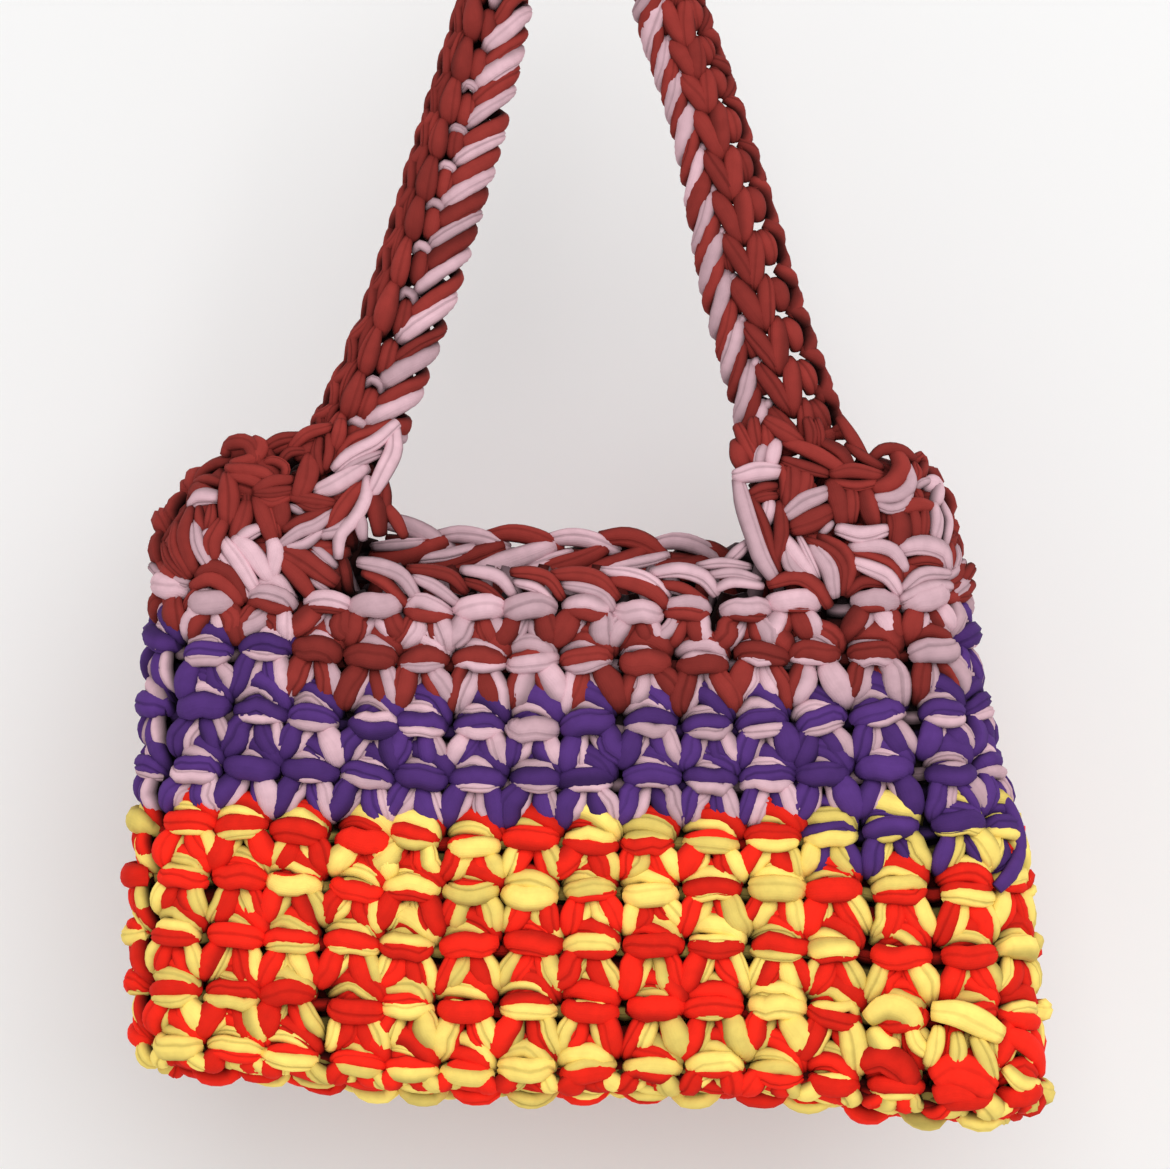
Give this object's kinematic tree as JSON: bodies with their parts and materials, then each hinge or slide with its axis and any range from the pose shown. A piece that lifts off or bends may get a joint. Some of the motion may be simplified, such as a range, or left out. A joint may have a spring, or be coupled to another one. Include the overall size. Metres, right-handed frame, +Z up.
{
  "type": "crochet tote bag",
  "caption": "Crocheted shoulder tote of thick doubled jersey yarn in bands of colour, with an open mouth between two shoulders and one chain-stitched strap it hangs by.",
  "frame": {"origin": "underside of the strap's highest point, where the bag hangs", "axes": "+Z up along the hang, +X to the right as seen from the front, +Y from the front of the bag to its back"},
  "size_m": [0.3122, 0.0591, 0.4114],
  "materials": {
    "yarn_red": "matt cotton jersey, soft",
    "yarn_yellow": "matt cotton jersey, soft",
    "yarn_purple": "matt cotton jersey, soft",
    "yarn_mauve": "matt cotton jersey, soft",
    "yarn_rust": "matt cotton jersey, soft"
  },
  "bodies": {
    "root": {"bag_body": "yarn_red", "strap": "yarn_rust"}
  },
  "joints": []
}
